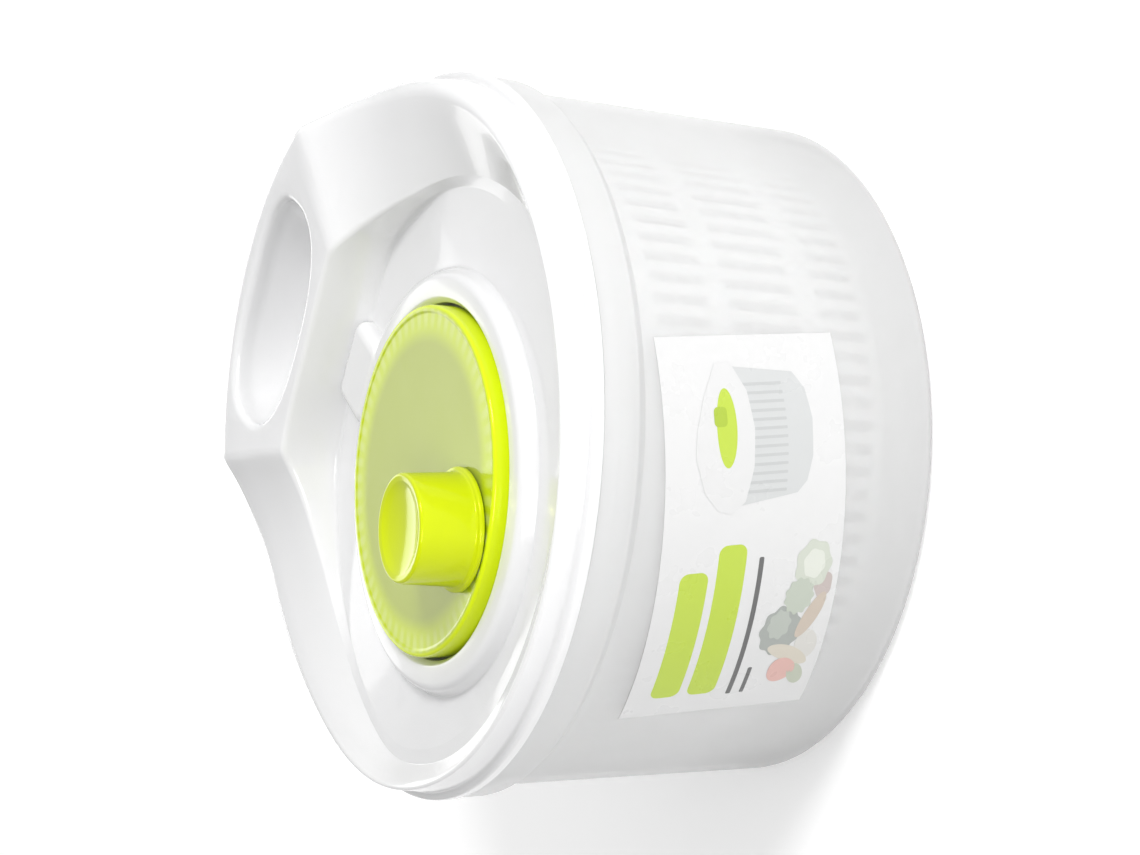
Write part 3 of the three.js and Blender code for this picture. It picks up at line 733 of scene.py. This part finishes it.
def print_patch(name, outline, place, tone, layer=0):
    """A thin closed patch of print on the label, from a flat outline drawn about its own middle."""
    px, py = place
    low = PRINT_FOOT + layer * PRINT_STEP
    dense = []
    for (x0, y0), (x1, y1) in zip(outline, outline[1:] + outline[:1]):
        parts = max(1, int(math.hypot(x1 - x0, y1 - y0) / 2.5))
        dense += [(x0 + (x1 - x0) * k / parts, y0 + (y1 - y0) * k / parts) for k in range(parts)]
    count = max(3, int(max(math.hypot(x, y) for x, y in outline) / 2.0))
    scales = [1 - k / (count + 0.3) for k in range(count + 1)]
    under = [[on_label(px + x * k, py + y * k, low) for x, y in dense] for k in scales[::-1]]
    over = [[on_label(px + x * k, py + y * k, low + PRINT_STEP) for x, y in dense] for k in scales]
    patch = loft(name, under + over, 60.0)
    patch.data.materials.append(tone)
    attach(patch, "bowl")


def bent_sheet(name, place, size, low, thickness, corner=0.0):
    """A rectangle of sheet bent round the bowl's front, with rounded corners if a corner radius is given."""
    steps_x = max(6, int(size[0] / 2.0))
    steps_y = max(2, int(size[1] / 4.0))
    stations = [size[0] * (i / steps_x - 0.5) for i in range(steps_x + 1)]
    if corner:
        ends = [size[0] / 2 - corner * (1 - math.sin(math.pi / 2 * k / 6)) for k in range(7)]
        stations = [-x for x in ends[::-1]] + [x for x in stations if abs(x) < ends[0]] + ends
    rows = []
    for x in stations:
        past = max(abs(x) - size[0] / 2 + corner, 0.0)
        half = size[1] / 2 - corner + math.sqrt(max(corner**2 - past**2, 0.0004))
        ys = [half * (2 * k / steps_y - 1) for k in range(steps_y + 1)]
        outer = [on_label(place[0] + x, place[1] + y, low + thickness) for y in ys]
        rows.append(outer + [on_label(place[0] + x, place[1] + y, low) for y in ys[::-1]])
    return loft(name, rows, 60.0)


def make_sheet():
    """The label's sheet."""
    sheet = bent_sheet("label_sheet", (0.0, 0.0), LABEL_SIZE, SHEET_FOOT, SHEET_THICKNESS)
    paint(sheet, label_film(), "bowl", "label")


def print_bar(name, place, size, tone, layer=0):
    """A plain printed bar with rounded corners."""
    piece = bent_sheet(name, place, size, PRINT_FOOT + layer * PRINT_STEP, PRINT_STEP, min(size) * 0.3)
    piece.data.materials.append(tone)
    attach(piece, "bowl")


def round_shape(half_x, half_y, bumps=0, depth=0.0, turn=0.0, count=64):
    """An ellipse, with a wavy edge if bumps are given."""
    points = []
    for i in range(count):
        angle = 2 * math.pi * i / count
        reach = 1 + depth * math.sin(bumps * angle + turn)
        points.append((half_x * reach * math.cos(angle), half_y * reach * math.sin(angle)))
    return points


def turned_outline(outline, degrees):
    c, s = math.cos(math.radians(degrees)), math.sin(math.radians(degrees))
    return [(x * c - y * s, x * s + y * c) for x, y in outline]


def make_print():
    """Generic print: heading bars, fine lines, a heap of vegetables and a lidded bowl."""
    lime = ink("ink_lime", (0.43, 0.56, 0.035))
    dark = ink("ink_dark", (0.10, 0.10, 0.10))
    for k, (x, y, width, height, tone) in enumerate((
            (-27.5, 17.2, 41.0, 8.6, lime), (-24.0, 6.2, 48.0, 8.6, lime),
            (-26.6, -2.9, 45.0, 1.5, dark), (-44.2, -7.0, 9.6, 1.3, dark))):
        print_bar(f"print_bar_{k}", (x, y), (width, height), tone)
    for k, (x, y, shape, tone) in enumerate((
            (-27.5, -13.0, round_shape(7.8, 6.2, 9, 0.06), (0.32, 0.34, 0.32)),
            (-25.4, -12.2, round_shape(4.6, 3.4, 8, 0.08), (0.40, 0.43, 0.39)),
            (-41.5, -17.0, round_shape(4.4, 4.2, 3, 0.04), (0.62, 0.38, 0.34)),
            (-42.3, -15.9, round_shape(1.5, 1.1), (0.70, 0.52, 0.48)),
            (-35.8, -17.6, turned_outline(round_shape(7.5, 2.5, 3, 0.05), 64), (0.56, 0.52, 0.44)),
            (-43.5, -22.0, turned_outline(round_shape(4.2, 2.4), 25), (0.44, 0.47, 0.38)),
            (-33.0, -22.4, round_shape(5.0, 3.6, 2, 0.06), (0.58, 0.57, 0.54)),
            (-23.2, -21.6, turned_outline(round_shape(7.6, 2.3), -24), (0.50, 0.43, 0.36)),
            (-16.8, -16.6, round_shape(5.4, 4.4, 11, 0.07), (0.44, 0.48, 0.41)),
            (-16.2, -16.0, round_shape(3.2, 2.5, 9, 0.08), (0.52, 0.55, 0.48)),
            (-7.6, -19.6, round_shape(7.0, 5.6, 7, 0.06), (0.52, 0.55, 0.48)),
            (-7.4, -19.8, round_shape(4.2, 3.4, 6, 0.05), (0.62, 0.64, 0.58)),
            (-13.8, -23.6, round_shape(4.0, 2.8, 5, 0.05), (0.46, 0.40, 0.38)))):
        print_patch(f"print_leaf_{k}", shape, (x, y), ink(f"ink_leaf_{k}", tone), 1 + k % 3)
    grey = ink("ink_bowl", (0.52, 0.53, 0.53))
    slots = ink("ink_slots", (0.45, 0.46, 0.46))
    pale = ink("ink_lid", (0.62, 0.62, 0.62))
    body = [(-18.4, 11.0), (-15.6, -9.6), (-12.6, -12.6), (-6.0, -14.6), (4.0, -15.0), (12.0, -13.4),
            (16.6, -10.0), (18.8, 11.0)]
    print_patch("print_body", body[::-1], (28.5, -3.0), grey, 1)
    for k in range(13):
        place = (14.0 + 2.35 * k, -2.6 - 0.8 * math.sin(k * math.pi / 12))
        print_bar(f"print_slot_{k}", place, (0.8, 13.0), slots, 2)
    lid = [(-20.2, -2.0), (-17.0, -6.0), (-8.0, -8.6), (2.0, -9.2), (12.0, -7.6), (20.0, -3.2), (19.6, 1.4),
           (11.0, 5.8), (2.0, 8.6), (-5.0, 9.2), (-14.0, 6.6), (-19.0, 2.4)]
    print_patch("print_lid", lid, (28.5, 9.6), pale, 3)
    print_patch("print_crank", round_shape(10.4, 3.1), (31.0, 9.0), lime, 4)
    print_bar("print_knob", (34.0, 10.8), (5.2, 4.0), ink("ink_knob", (0.34, 0.46, 0.02)), 5)


# ---------- materials ----------
def new_material(name):
    material = bpy.data.materials.new(name)
    material.use_nodes = True
    tree = material.node_tree
    return material, tree, tree.nodes["Principled BSDF"]


def add_node(tree, kind, **values):
    """A node with the given settings: sockets by name, other settings as attributes."""
    node = tree.nodes.new(kind)
    for key, value in values.items():
        if key in node.inputs:
            node.inputs[key].default_value = value
        else:
            setattr(node, key, value)
    return node


def object_place(tree):
    return add_node(tree, "ShaderNodeTexCoord").outputs["Object"]


def noise(tree, place, scale, detail=3.0):
    node = add_node(tree, "ShaderNodeTexNoise", Scale=scale, Detail=detail)
    tree.links.new(place, node.inputs["Vector"])
    return node.outputs["Fac"]


def ranged(tree, value, low, high, new_low, new_high):
    """A value mapped smoothly from one range to another."""
    node = add_node(tree, "ShaderNodeMapRange", interpolation_type="SMOOTHSTEP")
    for k, number in enumerate((low, high, new_low, new_high), 1):
        node.inputs[k].default_value = number
    tree.links.new(value, node.inputs[0])
    return node.outputs[0]


def maths(tree, operation, first, second=None):
    node = add_node(tree, "ShaderNodeMath", operation=operation)
    for k, value in enumerate((first, second)):
        if value is None:
            continue
        if isinstance(value, (int, float)):
            node.inputs[k].default_value = value
        else:
            tree.links.new(value, node.inputs[k])
    return node.outputs[0]


def mixed(tree, factor, first, second):
    """A colour between two colours or sockets."""
    node = add_node(tree, "ShaderNodeMix", data_type="RGBA")
    tree.links.new(factor, node.inputs["Factor"])
    for socket, value in ((node.inputs[6], first), (node.inputs[7], second)):
        if isinstance(value, tuple):
            socket.default_value = (*value, 1)
        else:
            tree.links.new(value, socket)
    return node.outputs[2]


def bumped(tree, shader, heights, distance, strength=1.0):
    """Surface relief from a height socket."""
    node = add_node(tree, "ShaderNodeBump", Strength=strength, Distance=distance)
    tree.links.new(heights, node.inputs["Height"])
    tree.links.new(node.outputs["Normal"], shader.inputs["Normal"])


def moulded(name, light, dark, roughness, orange_peel=0.00002):
    """Moulded plastic: faint cloudy colour, uneven gloss and a very fine ripple."""
    material, tree, shader = new_material(name)
    place = object_place(tree)
    tree.links.new(mixed(tree, noise(tree, place, 28.0), dark, light), shader.inputs["Base Color"])
    gloss = ranged(tree, noise(tree, place, 90.0), 0.3, 0.7, roughness * 0.85, roughness * 1.2)
    tree.links.new(gloss, shader.inputs["Roughness"])
    ripple = maths(tree, "ADD", noise(tree, place, 160.0, 1.0), noise(tree, place, 2200.0, 1.0))
    bumped(tree, shader, ripple, orange_peel)
    shader.inputs["IOR"].default_value = 1.5
    return material, tree, shader


def lid_plastic():
    material, _, shader = moulded("white_gloss", (0.77, 0.77, 0.775), (0.755, 0.755, 0.76), 0.13)
    shader.inputs["Subsurface Weight"].default_value = 0.3
    shader.inputs["Subsurface Radius"].default_value = (1.0, 1.0, 1.0)
    shader.inputs["Subsurface Scale"].default_value = 0.005
    shader.inputs["Coat Weight"].default_value = 0.5
    shader.inputs["Coat Roughness"].default_value = 0.03
    return material


def frosted():
    """Frosted polypropylene: milky, with the basket showing faintly through."""
    material, tree, shader = moulded("frosted", (0.82, 0.822, 0.822), (0.80, 0.802, 0.802), 0.4, 0.00002)
    height = add_node(tree, "ShaderNodeSeparateXYZ")
    tree.links.new(object_place(tree), height.inputs[0])
    clear = shader.inputs["Base Color"].links[0].from_socket
    # Painted shade: the base colour darkens to grey towards the bottom of the bowl, standing in for the
    # shade low on the wall by the floor.
    low = ranged(tree, height.outputs["Z"], 0.0, 0.05, 1.0, 0.0)
    tree.links.new(mixed(tree, low, clear, (0.70, 0.70, 0.70)), shader.inputs["Base Color"])
    shader.inputs["Alpha"].default_value = 0.52
    return material


def natural_plastic():
    material, _, shader = moulded("natural", (0.86, 0.86, 0.855), (0.82, 0.82, 0.815), 0.35)
    shader.inputs["Subsurface Weight"].default_value = 0.15
    shader.inputs["Subsurface Scale"].default_value = 0.003
    return material


def lime_plastic():
    material, _, _ = moulded("lime", (0.60, 0.76, 0.004), (0.54, 0.70, 0.003), 0.22)
    return material


def knob_plastic():
    material, _, shader = moulded("knob_lime", (0.58, 0.68, 0.003), (0.54, 0.64, 0.003), 0.08)
    shader.inputs["Specular Tint"].default_value = (1.0, 1.0, 0.05, 1)
    shader.inputs["Coat Weight"].default_value = 0.3
    return material


def crank_plastic():
    """Translucent lime: deep at the edge, pale over the thin plate, with the gear's teeth showing."""
    material, tree, shader = moulded("crank_lime", (0.36, 0.43, 0.05), (0.33, 0.40, 0.04), 0.16)
    place = object_place(tree)
    centre = tuple(CRANK_CENTRE * MM)
    offset = add_node(tree, "ShaderNodeVectorMath", operation="SUBTRACT")
    tree.links.new(place, offset.inputs[0])
    offset.inputs[1].default_value = centre
    parts = add_node(tree, "ShaderNodeSeparateXYZ")
    tree.links.new(offset.outputs[0], parts.inputs[0])
    across = maths(tree, "MULTIPLY", parts.outputs["X"], parts.outputs["X"])
    along = maths(tree, "MULTIPLY", parts.outputs["Y"], parts.outputs["Y"])
    radius = maths(tree, "SQRT", maths(tree, "ADD", across, along))
    turn = maths(tree, "ARCTAN2", parts.outputs["Y"], parts.outputs["X"])
    teeth = maths(tree, "SINE", maths(tree, "MULTIPLY", turn, 60.0))
    band = maths(tree, "MULTIPLY", ranged(tree, radius, 0.0415, 0.0455, 0, 1),
                 ranged(tree, radius, 0.0487, 0.0478, 0, 1))
    ribs = maths(tree, "MULTIPLY", ranged(tree, teeth, -1.0, 1.0, 0, 0.4), band)
    pale = shader.inputs["Base Color"].links[0].from_socket
    deep = ranged(tree, radius, 0.0380, 0.0440, 0, 0.95)
    ringed = mixed(tree, deep, pale, (0.50, 0.62, 0.006))
    ribbed = mixed(tree, ribs, ringed, (0.62, 0.70, 0.26))
    edge = ranged(tree, radius, 0.0478, 0.0487, 0, 1)
    tree.links.new(mixed(tree, edge, ribbed, (0.66, 0.80, 0.006)), shader.inputs["Base Color"])
    shader.inputs["Specular Tint"].default_value = (1.0, 1.0, 0.2, 1)
    shader.inputs["Coat Weight"].default_value = 0.3
    shader.inputs["Coat Roughness"].default_value = 0.08
    return material


def acetal_plastic():
    material, _, _ = moulded("acetal", (0.80, 0.80, 0.77), (0.75, 0.75, 0.72), 0.35)
    return material


def label_film():
    material, _, _ = moulded("label_film", (0.64, 0.64, 0.64), (0.63, 0.63, 0.63), 0.3, 0.000008)
    return material


def ink(name, tone):
    """Print on the label: an even tone with a little mottling under the film's gloss."""
    thin = tuple(c * 0.93 + 0.04 for c in tone)
    material, _, _ = moulded(name, tone, thin, 0.3, 0.000008)
    return material


def brushed_steel():
    """Turned stainless steel: a fine mottled relief with uneven polish."""
    material, tree, shader = new_material("steel")
    place = object_place(tree)
    tree.links.new(mixed(tree, noise(tree, place, 300.0), (0.55, 0.56, 0.58), (0.70, 0.71, 0.72)),
                   shader.inputs["Base Color"])
    shader.inputs["Metallic"].default_value = 1.0
    tree.links.new(ranged(tree, noise(tree, place, 1500.0), 0.3, 0.7, 0.2, 0.38), shader.inputs["Roughness"])
    bumped(tree, shader, noise(tree, place, 4000.0), 0.00001)
    return material


def dress(node, material):
    """Gives a carried-over CAD node its material."""
    node.data.materials.clear()
    node.data.materials.append(material)


def paint(piece, material, body, node):
    """Finishes a made piece: its material, the body it rides on and the node it stands for."""
    piece.data.materials.clear()
    piece.data.materials.append(material)
    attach(piece, body)
    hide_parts(node)


# ---------- camera ----------
VIEW_AZIMUTH = math.radians(30.0)
VIEW_ELEVATION = math.radians(26.98)
VIEW_ROLL = math.radians(2.57)
VIEW_DISTANCE = 0.693
VIEW_TARGET = Vector((0.0034, 0.0020, 0.06285))
SENSOR_WIDTH = 36.0
LENS = 73.05


def make_camera():
    """A camera at the photograph's angle, turned on its side as the photograph is."""
    c, s = math.cos(VIEW_ELEVATION), math.sin(VIEW_ELEVATION)
    a = VIEW_AZIMUTH
    back = Vector((math.sin(a) * c, -math.cos(a) * c, s))
    right = Vector((math.cos(a), math.sin(a), 0.0))
    upward = back.cross(right)
    image_up = right * math.cos(VIEW_ROLL) + upward * math.sin(VIEW_ROLL)
    image_right = right * math.sin(VIEW_ROLL) - upward * math.cos(VIEW_ROLL)
    camera = bpy.data.cameras.new("camera")
    camera.sensor_width = SENSOR_WIDTH
    camera.lens = LENS
    camera.clip_start = 0.01
    holder = bpy.data.objects.new("camera", camera)
    rotation = Matrix((image_right, image_up, back)).transposed().to_4x4()
    holder.matrix_world = Matrix.Translation(VIEW_TARGET + back * VIEW_DISTANCE) @ rotation
    bpy.context.scene.collection.objects.link(holder)
    bpy.context.scene.camera = holder


# ---------- floor and light ----------
SURROUND = (0.32, 0.82)  # strength of the surround at the left and at the right
KEY_PLACE = (3.45, -0.5, 2.9)
KEY_POWER = 95.0
KEY_SIZE = 1.2
FILL_PLACE = (1.2, -3.7, 2.4)
FILL_POWER = 85.0
FILL_SIZE = 2.0
BACK_PLACE = (-1.6, 2.8, 0.75)
BACK_POWER = 9.0
BACK_SIZE = 1.6
LIGHT_AIM = (0.0, 0.0, 0.07)


def make_floor():
    bpy.ops.mesh.primitive_plane_add(size=12.0)
    floor = bpy.context.object
    floor.name = "floor"
    material = bpy.data.materials.new("floor")
    material.use_nodes = True
    shader = material.node_tree.nodes["Principled BSDF"]
    shader.inputs["Base Color"].default_value = (0.97, 0.97, 0.97, 1)
    shader.inputs["Roughness"].default_value = 0.6
    shader.inputs["Emission Color"].default_value = (1, 1, 1, 1)
    shader.inputs["Emission Strength"].default_value = 0.12
    floor.data.materials.append(material)


def area_light(name, place, power, size):
    """A round soft light that faces the object."""
    light = bpy.data.lights.new(name, "AREA")
    light.energy = power
    light.shape = "DISK"
    light.size = size
    lamp = bpy.data.objects.new(name, light)
    lamp.location = place
    aim = Vector(LIGHT_AIM) - Vector(place)
    lamp.rotation_euler = aim.to_track_quat("-Z", "Y").to_euler()
    bpy.context.scene.collection.objects.link(lamp)


def make_light():
    """Soft studio light: a surround that fades towards the left, a key, a fill and a faint back light."""
    world = bpy.data.worlds.new("studio")
    world.use_nodes = True
    tree = world.node_tree
    side = add_node(tree, "ShaderNodeVectorMath", operation="DOT_PRODUCT")
    tree.links.new(add_node(tree, "ShaderNodeTexCoord").outputs["Generated"], side.inputs[0])
    side.inputs[1].default_value = (math.cos(VIEW_AZIMUTH), math.sin(VIEW_AZIMUTH), 0.0)
    strength = ranged(tree, side.outputs["Value"], -1.0, 1.0, *SURROUND)
    tree.links.new(strength, tree.nodes["Background"].inputs["Strength"])
    tree.nodes["Background"].inputs["Color"].default_value = (1, 1, 1, 1)
    bpy.context.scene.world = world
    bpy.context.scene.view_settings.view_transform = "Standard"
    area_light("key", KEY_PLACE, KEY_POWER, KEY_SIZE)
    area_light("fill", FILL_PLACE, FILL_POWER, FILL_SIZE)
    area_light("back", BACK_PLACE, BACK_POWER, BACK_SIZE)


make_lid()
make_bowl()
make_basket()
make_crank()
make_knob()
make_inner_cover()
make_drive_plate()
make_small_parts()
make_sheet()
make_print()
make_floor()
make_light()
make_camera()
